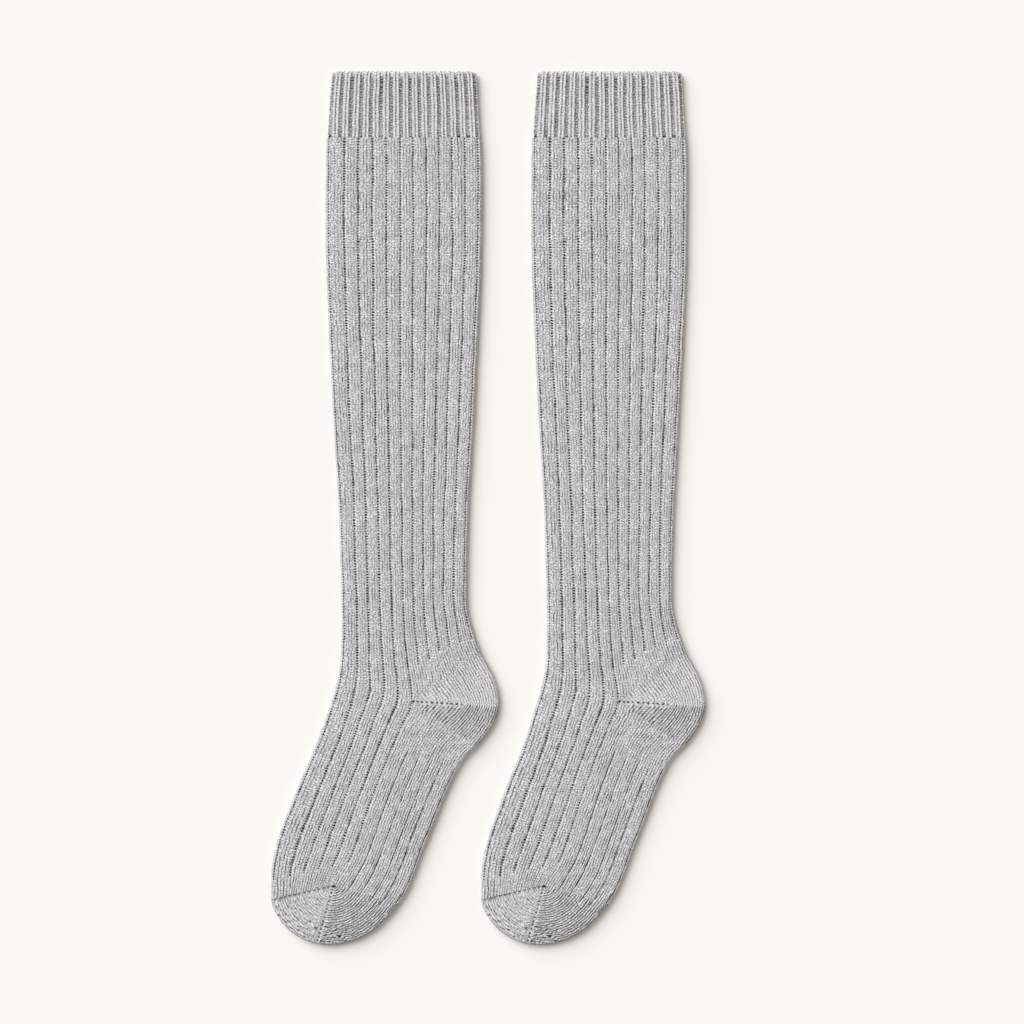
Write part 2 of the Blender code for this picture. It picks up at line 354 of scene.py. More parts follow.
def clothMesh(sock, part, outer, inner, wales, marks):
    # a closed shell of an outer and an inner grid, joined at its open ends
    name = f"{sock}_{part}_knit"
    outerPlaces, outerCourses = outer
    innerPlaces, innerCourses = inner
    rowsOut, columns = outerCourses.shape
    rowsIn = len(innerCourses)
    firstIn = rowsOut * columns
    outId = np.arange(firstIn).reshape(rowsOut, columns)
    inId = firstIn + np.arange(rowsIn * columns).reshape(rowsIn, columns)
    if part in ("cuff", "leg", "foot"):
        outId, inId, outerCourses, innerCourses = (
            np.hstack([grid, grid[:, :1]]) for grid in (outId, inId, outerCourses, innerCourses))
        wales = np.append(wales, 2.0 * halfRound)
    else:  # every course of a pouch starts from the same two corners
        for ids in (outId, inId):
            ids[:, 0] = ids[0, 0]
            ids[:, -1] = ids[0, -1]
    places = np.concatenate([outerPlaces.reshape(-1, 3), innerPlaces.reshape(-1, 3)])
    faces, stitch, bake, keep = clothFaces(part, outId, inId, outerCourses, innerCourses, wales)
    sizes = keep.sum(axis=1)

    used, newId = np.unique(faces[keep], return_inverse=True)
    mesh = bpy.data.meshes.new(name)
    mesh.vertices.add(len(used))
    setAll(mesh.vertices, "co", places[used])
    mesh.loops.add(len(newId))
    setAll(mesh.loops, "vertex_index", newId, np.int32)
    mesh.polygons.add(len(sizes))
    setAll(mesh.polygons, "loop_start", np.cumsum(sizes) - sizes, np.int32)
    for layerName, values in (("stitch", stitch), ("OFBake", bake)):
        setAll(mesh.uv_layers.new(name=layerName).uv, "vector", values[keep])
    mesh.uv_layers.active = mesh.uv_layers["stitch"]
    mesh.update(calc_edges=True)
    for markName, (values, inside) in marks.items():  # a mark has one value all over the inside
        tail = np.shape(inside)
        values = np.broadcast_to(values, (rowsOut, columns) + tail).reshape((-1,) + tail)
        values = np.concatenate([values, np.broadcast_to(inside, (rowsIn * columns,) + tail)])[used]
        mark = mesh.attributes.new(markName, "FLOAT_VECTOR" if tail else "FLOAT", "POINT")
        setAll(mark.data, "vector" if tail else "value", values)

    mesh.shade_smooth()
    ends = np.zeros(len(places), bool)  # the shell's open ends are hard edges
    for row in (outId[0], outId[-1], inId[0], inId[-1]):
        ends[row] = True
    ends = ends[used]
    pairs = np.empty(len(mesh.edges) * 2, np.int32)
    mesh.edges.foreach_get("vertices", pairs)
    pairs = pairs.reshape(-1, 2)
    sharp = ends[pairs[:, 0]] & ends[pairs[:, 1]]
    mesh.attributes.new("sharp_edge", "BOOLEAN", "EDGE").data.foreach_set("value", sharp)
    mesh.validate()
    piece = bpy.data.objects.new(name, mesh)
    bpy.context.scene.collection.objects.link(piece)
    print(f"{name}: {int((sizes - 2).sum())} triangles")
    return piece


def grooveOffset(wales, grooves):
    # how far each point is from its nearest groove, in wales
    return np.abs(wales[..., None] - grooves).min(axis=-1)


def lumps(wales, courses, seed):
    # cloth that has been worn or washed isn't quite even, but the pieces meet level
    noise = gridNoise(wales, courses, 2.5, 4, seed + 2) + gridNoise(wales, courses, 9, 12, seed + 3)
    row = np.arange(len(noise))[:, None]
    heldRows = 8
    hold = np.clip(np.minimum(row, len(noise) - 1 - row) / heldRows, 0, 1)
    return ribKnit["lumps"] * (noise * hold - ribKnit["lumpSink"])


def grooveMark(off, ribbed):
    # 1 on a groove, falling to 0 beside it
    return ribbed * np.clip(1 - off / ribKnit["markReach"], 0, 1), 0.0


def ribRelief(off, strength):
    # how far the knit falls below its form beside a groove, in millimetres
    groove = ribKnit["grooveDepth"] * np.exp(-(off / ribKnit["grooveWidth"]) ** 2)
    return -strength * (groove + ribKnit["shoulder"] * np.exp(-off / ribKnit["shoulderWidth"]))


def finishCloth(sock, part, outerForm, innerForm, relief, wales, marks):
    # lays the relief on the outer form, and makes the shell's mesh in the frame's metres
    plan, height, normal = outerForm
    below = np.broadcast_to(wales > halfRound, relief.shape)
    relief = np.where(below, np.minimum(relief * ribKnit["pressed"], 0), relief)
    outer = placed(plan + normal[..., :2] * relief[..., None],
                   np.maximum(height + normal[..., 2] * relief, 0), sock)
    inner = placed(innerForm[0], innerForm[1], sock)
    outer, inner = (outer, stitchCount(plan)), (inner, stitchCount(innerForm[0]))
    return clothMesh(sock, part, outer, inner, wales, marks)


def fewRows(rows, every):
    count = max(len(rows) // every, 3)
    return rows[np.linspace(0, len(rows) - 1, count).round().astype(int)]


def tubeRows(part, before=None, after=None):
    # the mesh rows of a ribbed tube, and the course that each is at
    plan = fullCourses(sockPlan[part])
    courseCount = round(sideLength(plan) / sockPlan["course"])
    rows = curveThrough(plan, courseCount * ribKnit["rowsPerCourse"] + 1, [2, 3], before, after)
    return rows, np.linspace(0, courseCount, len(rows))


def tubeForms(rows, courses, wales, pulled, bend, seed):
    # a tube's outside, and its smooth inside with fewer rows
    outside = tubeForm(rows, strayed(wales, courses, seed) + pulled, foldRadius, bend)
    rows, bend = (fewRows(grid, ribKnit["innerEvery"]) for grid in (rows, bend))
    return outside, tubeForm(rows, wales[None, :], slitHeight / 2, bend)


def unevenMark(mean, spread, cells, wales, courses, seed):
    # a mark that differs from place to place, in patches of so many wales by so many courses
    return mean + spread * gridNoise(wales[None, :], courses[:, None], *cells, seed)


cuffKnit = {
    "courses": 25,
    "rowsPerCourse": 3,
    "innerEvery": 12,
    "ribs": 32,  # round the cuff
    # mesh columns of a rib, in ribs from its middle: close together on top, sparse underneath
    "upperColumns": np.array(
        [-0.43, -0.36, -0.29, -0.22, -0.15, -0.08, 0.0, 0.08, 0.15, 0.22, 0.29, 0.36, 0.43, 0.5]),
    "lowerColumns": np.array([0, 0.19, 0.36, 0.5, 0.64, 0.81]),
    "ridgeDepth": 0.30,  # of the line between a rib's two wales
    "ridgeWidth": 0.075,  # ribs
    "furrowFrom": 0.335,  # ribs from a rib's middle
    "furrowSlope": (0.06, 0.07),
    "furrowDepth": 0.8,
    "weltFill": 0.55,  # of the furrow's depth, that the welt takes up
    "ladderHeight": 0.16,
    "ladderUneven": 0.5,
    "stitchHeight": 0.05,
    "stitchUneven": 0.8,
    "welt": 1.5,  # height of the rounded edge at the mouth
    "weltFrom": 0.4,
    "mouthFall": 1.1,  # how far the cloth rounds down at the mouth
    "mouthReach": 1.8,
    "scallop": 0.4,  # how far each rib rounds over at the mouth
    "open": 1.0,
}


def makeCuff(seed):
    knit, ribs = cuffKnit, cuffKnit["ribs"]
    rowCount = knit["courses"] * knit["rowsPerCourse"] + 1
    rows = curveThrough(fullCourses(sockPlan["cuff"]), rowCount, [2, 3])
    courses = np.linspace(0, knit["courses"], len(rows))
    ribWales = fullRound / ribs
    top = (np.arange(ribs // 2 + 1)[:, None] + knit["upperColumns"]).ravel() * ribWales
    low = (np.arange(ribs // 2, ribs)[:, None] + knit["lowerColumns"]).ravel() * ribWales
    top = top[(top >= 0) & (top <= halfRound)]
    low = low[(low > halfRound) & (low < fullRound - 0.01)]  # the last column is the first one again
    wales = np.concatenate([top, low])
    strayedWales = strayed(wales, courses, seed)
    u, v = np.broadcast_arrays(wales[None, :] / ribWales, courses[:, None])
    off = np.abs((u + 0.5) % 1 - 0.5)  # ribs from a rib's middle
    uneven = stitchNoise(u + 0.5, v, seed)
    down = rows[:, 3][:, None]

    welt = 1 - smoothStep(down, knit["weltFrom"], knit["welt"])
    before, after = knit["furrowSlope"]
    furrow = smoothStep(off, knit["furrowFrom"] - before, knit["furrowFrom"] + after)
    ladder = knit["ladderHeight"] * np.cos(2 * np.pi * v) * (1 + knit["ladderUneven"] * uneven)
    furrows = (knit["furrowDepth"] * (1 - knit["weltFill"] * welt) - ladder) * furrow
    ridges = knit["ridgeDepth"] * np.exp(-(off / knit["ridgeWidth"]) ** 2)
    stitches = (knit["stitchHeight"] * np.cos(2 * np.pi * (v + 0.5)) * (1 - furrow)
                * (1 + knit["stitchUneven"] * uneven))
    mouth = knit["mouthFall"] * (1 - smoothStep(down, 0.0, knit["mouthReach"])) ** 2
    relief = -furrows - ridges + stitches - mouth + lumps(strayedWales, v, seed)

    form = tubeForm(rows, strayedWales, foldRadius)
    form[0][..., 1] -= knit["scallop"] * (np.cos(2 * np.pi * u) - 1) * welt
    inside = tubeForm(fewRows(rows, knit["innerEvery"]), wales[None, :], slitHeight / 2)
    marks = {"open": (knit["open"], 0.5)}
    return form, inside, relief, wales, marks


legKnit = {
    "lowerColumns": np.array([-1.25, -0.4, 0, 0.4, 1.25, 2.5]),  # wales from a groove underneath
    "bend": 0.3,  # how far the wales turn to the heel's gore at the leg's end
    "bendCourses": 14,
    # where each groove of the back half ends above the heel: its wale, and how far down
    "ribEndWales": [goreWale, 32.5, 37.5, 42.5, 47.5, 52.5, 57.5],
    "ribEnds": [405.5, 404.3, 400.9, 395.4, 392.7, 389.3, 387.0],
    "frontWales": 5,  # beside the front fold the ribs are a little flatter,
    "frontRib": (0.9, 0.1),  # and full again further down
    "frontRibDown": (100, 180),
    "widest": 106.9,  # plan width; where the leg is narrower its grooves' marks spread
    "narrowing": 0.8,
    "joined": (0.15, 0.3, (4, 7)),  # mean, spread and patch size
    "open": (0.5, 0.3, (3, 6)),
    "openPastRib": 0.1,
    "openAnkle": 0.5,  # the stitches open where the back runs into the heel
    "ankleWales": (48, 56),
    "ankleDown": (340, 380),
}


def makeLeg(seed):
    knit = legKnit
    rows, courses = tubeRows("leg", after=sockPlan["foot"][1][:4] + sockPlan["heelRim"][1])
    grooves = ribKnit["legGrooves"]
    top = ribColumns(grooves[grooves < halfRound], 0, halfRound)
    low = (grooves[grooves > halfRound][:, None] + knit["lowerColumns"]).ravel()
    wales = np.concatenate([top, low[low < fullRound]])

    toEnd = np.clip((courses - courses[-1] + knit["bendCourses"]) / knit["bendCourses"], 0, 1)
    bend = knit["bend"] * toEnd[:, None] ** 2
    pulled = np.interp(wales, ribKnit["pulledFrom"], ribKnit["frontPull"])
    form, inside = tubeForms(rows, courses, wales, pulled, bend, seed)

    layer, down = layerWale(wales), form[0][..., 1]
    ribEnd = np.interp(layer, knit["ribEndWales"], knit["ribEnds"])
    soft = ribKnit["endSoftness"]
    ribbed = 1 - smoothStep(down, ribEnd - soft, ribEnd + soft) * (layer > goreWale + ribKnit["pastGore"])
    least, more = knit["frontRib"]
    flatter = least + more * smoothStep(down, *knit["frontRibDown"])
    ribbed = ribbed * np.where(layer < knit["frontWales"], flatter, 1)
    narrowing = ((rows[:, 4] - rows[:, 0])[:, None] / knit["widest"]) ** knit["narrowing"]
    off = grooveOffset(wales, grooves) * narrowing  # a groove is as wide where the stitches are narrow
    relief = ribRelief(off, ribbed) + lumps(wales[None, :], courses[:, None], seed)

    ankle = smoothStep(layer, *knit["ankleWales"]) * smoothStep(down, *knit["ankleDown"])
    openingAndShade = (unevenMark(*knit["open"], wales, courses, seed + 7) + knit["openPastRib"] * (1 - ribbed)
               + knit["openAnkle"] * ankle)
    marks = {
        "groove": grooveMark(off, ribbed),
        "joined": (unevenMark(*knit["joined"], wales, courses, seed + 8), 0.0),
        "open": (openingAndShade, 0.5),
    }
    return form, inside, relief, wales, marks


footKnit = {
    "instepGrooves": 6,  # of the leg's, that run on over the instep
    "bend": 0.4,  # how far the wales turn to the heel's gore at the foot's start
    "bendCourses": 16,
    "instepPull": [0, 0, 0.8, 0.7, 0],  # how many wales the upper layer is drawn over, past the ankle
    "pullCourses": (2, 25),
    "instepRib": (0.94, 0.06),
    "instepRibWales": (3, 7),
    "ribEnds": (10.5, 13.0),  # millimetres before the linking seam
    "soleRib": 0.94,
    "soleRibFrom": 7,  # courses from the heel
    "soleRibSlant": 0.1,  # courses later for each wale
    "soleRibTo": 20,
    "flatter": 0.5,  # of the relief, that the foot's ribs lose over its first courses
    "flatterCourses": (0, 12),
    "instepEdge": (28, 31),  # wales
    "joined": (0.72, 0.3, (4, 7)),  # mean, spread and patch size
    "joinedInstep": 0.38,  # less over the instep
    "open": (0.80, 0.35, (3, 9)),
    "openInstep": (0.02, 0.2),  # less over the instep, and less again above its plain end
    "plainEnds": (10, 16),  # millimetres before the linking seam
}


def makeFoot(seed):
    knit = footKnit
    rows, courses = tubeRows("foot", before=sockPlan["leg"][-2][:4] + sockPlan["heelRim"][-2])
    grooves = np.concatenate([ribKnit["legGrooves"][:knit["instepGrooves"]], ribKnit["soleGrooves"]])
    grooves = np.concatenate([grooves, fullRound - grooves[::-1]])
    wales = ribColumns(grooves, 0, fullRound)[:-1]

    bend = knit["bend"] * np.clip(1 - courses / knit["bendCourses"], 0, 1)[:, None] ** 2
    instepPull = np.interp(wales, ribKnit["pulledFrom"], knit["instepPull"])
    pulled = (np.interp(wales, ribKnit["pulledFrom"], ribKnit["frontPull"])
              + instepPull * smoothStep(courses[:, None], *knit["pullCourses"]))
    form, inside = tubeForms(rows, courses, wales, pulled, bend, seed)

    layer = layerWale(wales)
    beforeSeam = np.abs(alongLine(form[0], rows[-1, 2:4], rows[-1, 0:2])[1])
    least, more = knit["instepRib"]
    instepRib = ((least + more * smoothStep(layer, *knit["instepRibWales"]))
                 * smoothStep(beforeSeam, *knit["ribEnds"]))
    soleFrom = knit["soleRibFrom"] + knit["soleRibSlant"] * (layer - goreWale)
    soleRib = knit["soleRib"] * smoothStep(courses[:, None], soleFrom, knit["soleRibTo"])
    ribbed = np.where(layer > goreWale + ribKnit["pastGore"], soleRib, instepRib)
    off = grooveOffset(wales, grooves)
    left = 1 - knit["flatter"] * smoothStep(courses[:, None], *knit["flatterCourses"])
    relief = ribRelief(off, ribbed * left) + lumps(wales[None, :], courses[:, None], seed)

    overInstep = 1 - smoothStep(layer, *knit["instepEdge"])
    mean, spread, cells = knit["joined"]
    mean = mean - knit["joinedInstep"] * overInstep
    joined = unevenMark(mean, spread, cells, wales, courses, seed + 8)
    least, more = knit["openInstep"]
    closed = overInstep * (least + more * smoothStep(beforeSeam, *knit["plainEnds"]))
    marks = {
        "groove": grooveMark(off, ribbed),
        "joined": (joined, 0.0),
        "open": (unevenMark(*knit["open"], wales, courses, seed + 7) * (1 - closed), 0.5),
    }
    return form, inside, relief, wales, marks


def pouchColumns(grooves):
    # on the upper layer from the gores' wale to the fold, and back underneath
    top = ribColumns(grooves, goreWale, halfRound)
    low = np.arange(halfRound + 1.0, fullRound - goreWale, 1.0)
    return np.concatenate([top, low, [fullRound - goreWale]])


def alongLine(plan, start, end):
    # millimetres along and away from the line from start to end
    start, end = np.array(start, float), np.array(end, float)
    along = (end - start) / np.linalg.norm(end - start)
    step = plan - start
    return step @ along, step @ np.array([-along[1], along[0]]), np.linalg.norm(end - start)


def lineMark(plan, start, end, pitch):
    # what a row of dots along a line is drawn from: how many dots along it, how far from it
    # or past its ends, and how far from its start
    along, away, length = alongLine(plan, start, end)
    past = np.maximum(np.maximum(-along, along - length), 0)
    return np.stack([along / pitch, np.hypot(away, past), np.hypot(along, away)], axis=-1)


def curved(x, weights):
    # a parabola
    return weights[0] + weights[1] * x + weights[2] * x ** 2


noLine = (0.0, 99.0, 99.0)  # the mark of a place far from every line

pouchKnit = {
    "goreDepth": 0.2,  # of the line that the short rows leave
    "goreWidth": 0.8,
    "apexSoft": 12,  # the relief is full from a twelfth of the way to the rim
}


def pouchRelief(relief, share, gore):
    fromApex = np.clip(share * pouchKnit["apexSoft"], 0, 1)
    line = np.exp(-(gore[..., 1] / pouchKnit["goreWidth"]) ** 2)
    return relief * fromApex - pouchKnit["goreDepth"] * line


heelKnit = {
    "rows": 106,
    "innerRows": 15,
    "turnDown": 432.2,  # where the heel turns, on the rim
    "goreEndShare": 0.585,  # how far the gore reaches towards the turn
    "goreEndWale": 42.0,
    "goreDotPitch": 3.4,
    # how far the wales bend to the gore, before and after the turn: 0.3 and 0.4 where
    # they run on into the leg's and the foot's, and 1 at the turn
    "bendBefore": (0.3, 0.25, 0.45),
    "bendAfter": (0.4, 0.4, 0.2),
    "arcPower": 2.0,
    # how open the stitches are, from the leg over the turn to the foot; past the turn, where the wales
    # run across the light, the wider gaps also hold more painted shade
    "openRows": [0, 0.8, 0.98, 1.02, 1.3, 2],  # 1 is the turn
    "open": [0.8, 0.6, 0.6, 1.5, 1.4, 1.2],
    "closedByGore": (0.8, 3.0),  # millimetres
    # painted light on the heel's half towards the leg, where the wales run the way the light falls
    "paintedLightRows": [0, 0.5, 0.95, 1.1],
    "pale": [0.14, 0.3, 0.3, 0],
}


def makeHeel(seed):
    knit, rowCount = heelKnit, heelKnit["rows"]
    apex = np.array(sockPlan["foot"][0][2:4])
    rim = curveThrough(sockPlan["heelRim"], rowCount, [0, 1],
                       sockPlan["leg"][-2][4:], sockPlan["foot"][1][4:])
    turn = np.abs(rim[:, 1] - knit["turnDown"]).argmin()
    # t runs from 0 at the leg over 1 at the turn to 2 at the foot
    t = np.concatenate([np.linspace(0, 1, turn + 1), np.linspace(1, 2, rowCount - turn)[1:]])[:, None]
    before, after = np.minimum(t, 1), np.minimum(2 - t, 1)
    chordEnds = np.where(t < 1, rim[0] + (rim[turn] - rim[0]) * before,
                         rim[turn] + (rim[-1] - rim[turn]) * np.maximum(t - 1, 0))
    wales = pouchColumns([])
    layer = layerWale(wales)[None, :]
    bend = np.where(t < 1, curved(before, knit["bendBefore"]), curved(after, knit["bendAfter"]))
    share = backShare(layer, bend)
    form, inside = pouchForms(apex, rim, chordEnds, wales, share, knit)

    courses = stitchCount(form[0])
    goreEnd = apex + (rim[turn] - apex) * knit["goreEndShare"]
    gore = lineMark(form[0], apex, goreEnd, knit["goreDotPitch"])
    relief = pouchRelief(lumps(wales[None, :], courses, seed), share, gore)
    openingAndShade = (np.interp(t, knit["openRows"], knit["open"])
               * smoothStep(gore[..., 1], *knit["closedByGore"]))
    marks = {
        "gore": (gore, noLine),
        "seam": (noLine, noLine),
        "open": (openingAndShade, 0.5),
        "pale": (np.interp(t, knit["paintedLightRows"], knit["pale"]) * np.ones_like(courses), 0.0),
    }
    return form, inside, relief, wales, marks


toeKnit = {
    "rows": 171,
    "innerRows": 21,
    "tipX": -59.8,  # where the toe turns, on the rim
    "arcPower": 1.0,
    "goreDotPitch": 2.8,
    "seamDepth": 0.35,  # of the linking seam across the instep
    "seamWidth": 0.6,
    "seamDotPitch": 3.4,
    "soleRib": 0.93,  # the sole's ribs run out over these mesh rows
    "soleRibRows": (8, 30),
    "soleRelief": 0.5,
    "joined": 0.6,
    # the rest is counted in mesh rows from the turn, or in shares of the way to the rim
    # painted light on the toe's half towards the instep, where the wales run the way the light falls
    "pale": 0.27,
    "paintedLightRows": (-2, 10),
    "tangle": 0.8,  # short strokes that lie every way
    "tangleRows": (0, 6),
    "tangleShare": (0.15, 0.4),
    "rimTangle": 1.3,
    "rimTangleShare": (0.5, 0.75),
    "rimTangleFrom": (50, 80),  # mesh rows from the foot
    "rimTangleTo": (0, 20),
    # how open the stitches are; before the turn, where the wales run across the light, the wider gaps
    # also hold more painted shade
    "open": [1.35, 1.5, 0.7, 0.6],
    "openTurn": (-2, 2),
    "openRim": 0.4,
    "openRimShare": (0.6, 1.0),
    "closedByGore": (0.5, 2.5),  # millimetres
}


def makeToe(seed):
    knit, rowCount = toeKnit, toeKnit["rows"]
    apex = np.array(sockPlan["foot"][-1][2:4])
    rim = curveThrough(sockPlan["toeRim"], rowCount, [0, 1],
                       sockPlan["foot"][-2][4:], sockPlan["foot"][-2][:2])
    tip = np.abs(rim[:, 0] - knit["tipX"]).argmin()
    grooves = ribKnit["soleGrooves"]
    wales = pouchColumns(grooves)
    layer = layerWale(wales)
    share = np.broadcast_to((layer - goreWale) / (halfRound - goreWale), (rowCount, len(wales)))
    form, inside = pouchForms(apex, rim, rim, wales, share, knit)

    courses = stitchCount(form[0])
    row = np.arange(rowCount)[:, None]
    off = grooveOffset(wales, np.concatenate([grooves, fullRound - grooves[::-1]]))
    ribbed = knit["soleRib"] * (1 - smoothStep(row, *knit["soleRibRows"]))
    gore = lineMark(form[0], apex, rim[tip], knit["goreDotPitch"])
    seam = lineMark(form[0], apex, rim[-1], knit["seamDotPitch"])
    ribs = ribRelief(off, knit["soleRelief"] * ribbed) + lumps(wales[None, :], courses, seed)
    relief = (pouchRelief(ribs, share, gore)
              - knit["seamDepth"] * np.exp(-(seam[..., 1] / knit["seamWidth"]) ** 2))

    def rowsFromTip(name):
        return (tip + end for end in knit[name])
    atRim = (knit["rimTangle"] * smoothStep(share, *knit["rimTangleShare"])
             * smoothStep(row, *knit["rimTangleFrom"])
             * (1 - smoothStep(row, *rowsFromTip("rimTangleTo"))))
    tangle = (knit["tangle"] * smoothStep(row, *rowsFromTip("tangleRows"))
              * smoothStep(share, *knit["tangleShare"]) + atRim)
    openingAndShade = (np.interp(row, [0, *rowsFromTip("openTurn"), rowCount], knit["open"])
               + knit["openRim"] * smoothStep(share, *knit["openRimShare"]))
    openingAndShade = openingAndShade * smoothStep(gore[..., 1], *knit["closedByGore"])
    pale = knit["pale"] * smoothStep(row, *rowsFromTip("paintedLightRows")) * np.ones_like(courses)
    marks = {
        "gore": (gore, noLine),
        "seam": (seam, noLine),
        "groove": grooveMark(off, ribbed),
        "joined": (knit["joined"], 0.0),
        "pale": (pale, 0.0),
        "tangle": (tangle, 0.0),
        "open": (openingAndShade, 0.5),
    }
    return form, inside, relief, wales, marks


def linearColour(hexColour):
    values = [int(hexColour[i:i + 2], 16) / 255 for i in (1, 3, 5)]
    return tuple(x / 12.92 if x <= 0.04045 else ((x + 0.055) / 1.055) ** 2.4 for x in values) + (1.0,)


modeNames = {
    "Math": "operation", "VectorMath": "operation",
    "MapRange": "interpolation_type", "TexNoise": "noise_dimensions",
}


def addNode(tree, kind, inputs=(), mode=None, **settings):
    # one node with its settings; each input, in order or by its key, is given
    # a value, or the node or socket that feeds it
    node = tree.nodes.new("ShaderNode" + kind)
    if mode:
        settings[modeNames[kind]] = mode
    for key, value in settings.items():
        setattr(node, key, value)
    for key, source in inputs.items() if isinstance(inputs, dict) else enumerate(inputs):
        if isinstance(source, bpy.types.Node):
            source = source.outputs[0]
        if isinstance(source, bpy.types.NodeSocket):
            tree.links.new(source, node.inputs[key])
        else:
            node.inputs[key].default_value = source
    return node


# Marled cotton-blend yarn, ring-spun from light and dark fibres and machine knitted.
# It gives the eye a matt cloth with a pale fuzz, flecked light and dark at the size of a stitch;
# the material paints shade into the gaps where the stitches part, and highlights on their crests.
heatherYarn = {
    "darkFibre": "#7c7b86",
    "middleFibre": "#d0d0d4",
    "lightFibre": "#fefdfd",
    "marlReach": (0.12, 0.88),  # of the marl's noise, from the darkest yarn to the lightest
    # the pale fuzz of hairs, and also the colour of the painted highlights on crests, rungs and the lit
    # halves of the heel and toe
    "fuzzAndHighlight": "#fbf9f9",
    "shade": "#0d0c1a",  # painted shade, mixed in between the stitches and into holes and furrows
    "roughness": 0.95,
    "specular": 0.15,
    "sheen": 0.2,
    "sheenRoughness": 0.6,
    # noises to a stitch, which is 1.83 mm wide and 1.84 mm high
    "swayScale": 0.4,  # 4.6 mm
    "sway": {"cuff": (0.4, 1.0), "rib": (0.5, 0.8), "plain": (0.7, 1.0)},  # stitches
    "marlScale": 2.0,  # flecks of 0.9 mm, because real fibres of 0.02 mm wouldn't show
    # noises to a metre
    "riceScale": 850.0,  # 1.2 mm, the roughness of the yarn
    "curlScale": 300.0,  # 3 mm, the curl of the hairs
    "cloudScale": 130.0,  # 8 mm, lighter and darker patches
    "hairWidth": 0.012,  # of the curl's noise; wider than real hairs, which wouldn't show
    "hairLight": 0.12,
    # painted shade in the strokes and holes and painted highlights on rungs and crests are stronger than
    # in real knit too, so that they show
    "strokeLeast": {"cuff": 0.35, "rib": 0.1, "plain": 0.35},
    "gapShade": 0.75,
    "loopShade": 0.45,
    "crestLight": {"cuff": 0.6, "rib": 0.35, "plain": 0.35},
    "rungLight": 0.8,
    "grooveShade": 1.0,
    "gore": (1.3, 0.0),  # width in millimetres, and how far its dots are joined up
    "seam": (2.4, 0.3),
}


def swayedStitches(add, look, pattern, stitch):
    # stitches are never quite in line, and in a tangle they lie every way
    wales, courses = look["sway"][pattern]
    sway = add("TexNoise", {"Vector": stitch, "Scale": look["swayScale"], "Detail": 2.0}, "2D")
    reach, half = (wales, courses, 0), (-wales / 2, -courses / 2, 0)
    push = add("VectorMath", (sway.outputs["Color"], reach, half), "MULTIPLY_ADD")
    tangle = add("Attribute", attribute_name="tangle").outputs["Fac"]
    more = add("MapRange", (tangle, 0.0, 1.0, 1.0, 3.2), clamp=False)
    push = add("VectorMath", (push, more), "MULTIPLY")
    return sway, tangle, add("VectorMath", (stitch, push), "ADD")


def cuffWales(add, across):
    # two raised wales and a sunk furrow, 16 times across
    rib = add("Math", (across, cuffKnit["ribs"] / fullRound), "MULTIPLY")
    fromMiddle = add("Math", (rib, 0.5), "PINGPONG")
    furrow = add("MapRange", (fromMiddle, 0.28, 0.37), "SMOOTHSTEP")
    waleGap = add("MapRange", (fromMiddle, 0.02, 0.10, 0.4, 0.0), "SMOOTHSTEP")
    wale = add("Math", (fromMiddle, 0.175), "PINGPONG")
    return add("Math", (wale, 2.86), "MULTIPLY"), waleGap, furrow


def ladderShade(add, stitch, loose, alongWale, furrow, stroke):
    # painted shade in the cuff's furrows, lighter on the rungs of yarn across them, fainter downwards and
    # from rib to rib
    bent = add("TexNoise", {"Vector": loose, "Scale": 0.9}, "2D")
    rung = add("Math", (bent, 1.4, alongWale), "MULTIPLY_ADD")
    rung = add("Math", (rung, 0.5), "PINGPONG")
    ladder = add("MapRange", (rung, 0.1, 0.4, 0.35, 1.0))
    belowWelt = add("MapRange", (alongWale, 1.2, 2.4), "SMOOTHSTEP")
    fading = add("MapRange", (alongWale, 3.0, 22.0, 1.0, 0.75))
    ribByRib = add("VectorMath", (stitch, (0.25, 0.07, 1.0)), "MULTIPLY")
    ribByRib = add("TexNoise", {"Vector": ribByRib, "Scale": 1.0}, "2D")
    stretched = add("MapRange", (ribByRib, 0.35, 0.65, 0.74, 1.0))
    stretched = add("Math", (fading, stretched), "MULTIPLY")
    shade = furrow
    for factor in (belowWelt, ladder, stretched):
        shade = add("Math", (shade, factor), "MULTIPLY")
    # painted shade where the ladder ends in the broad rib
    lastCourse = add("MapRange", (alongWale, 23.2, 24.2))
    tuckShade = add("Math", (furrow, lastCourse), "MULTIPLY")
    frayed = add("MapRange", (stroke, 0.42, 0.58, 0.3, 1.0))
    tuckShade = add("Math", (tuckShade, frayed), "MULTIPLY")
    return add("Math", (shade, tuckShade), "MAXIMUM")


def grooveLine(add, look, stitch, groove, alongWale, stroke):
    # the line of holes down a groove: its width, its dots, and its shade
    uneven = add("Math", (stroke, 0.5), "SUBTRACT")
    uneven = add("Math", (uneven, 0.5, groove), "MULTIPLY_ADD")
    line = add("MapRange", (uneven, 0.64, 0.80), "SMOOTHSTEP")
    hole = add("Math", (alongWale, 0.5), "PINGPONG")
    hole = add("MapRange", (hole, 0.12, 0.22, 0.05, 1.0))
    run = add("VectorMath", (stitch, (0.23, 0.06, 1.0)), "MULTIPLY")
    run = add("TexNoise", {"Vector": run, "Scale": 1.0}, "2D")
    closed = add("MapRange", (run, 0.54, 0.68, 0.0, 0.65))
    joined = add("Attribute", attribute_name="joined").outputs["Fac"]
    dots = add("Math", (hole, closed), "MAXIMUM")
    dots = add("Math", (dots, joined), "MAXIMUM")
    faint = add("MapRange", (stroke, 0.36, 0.52, 0.8 * look["grooveShade"], look["grooveShade"]))
    shade = add("Math", (line, dots), "MULTIPLY")
    return line, dots, add("Math", (shade, faint), "MULTIPLY")


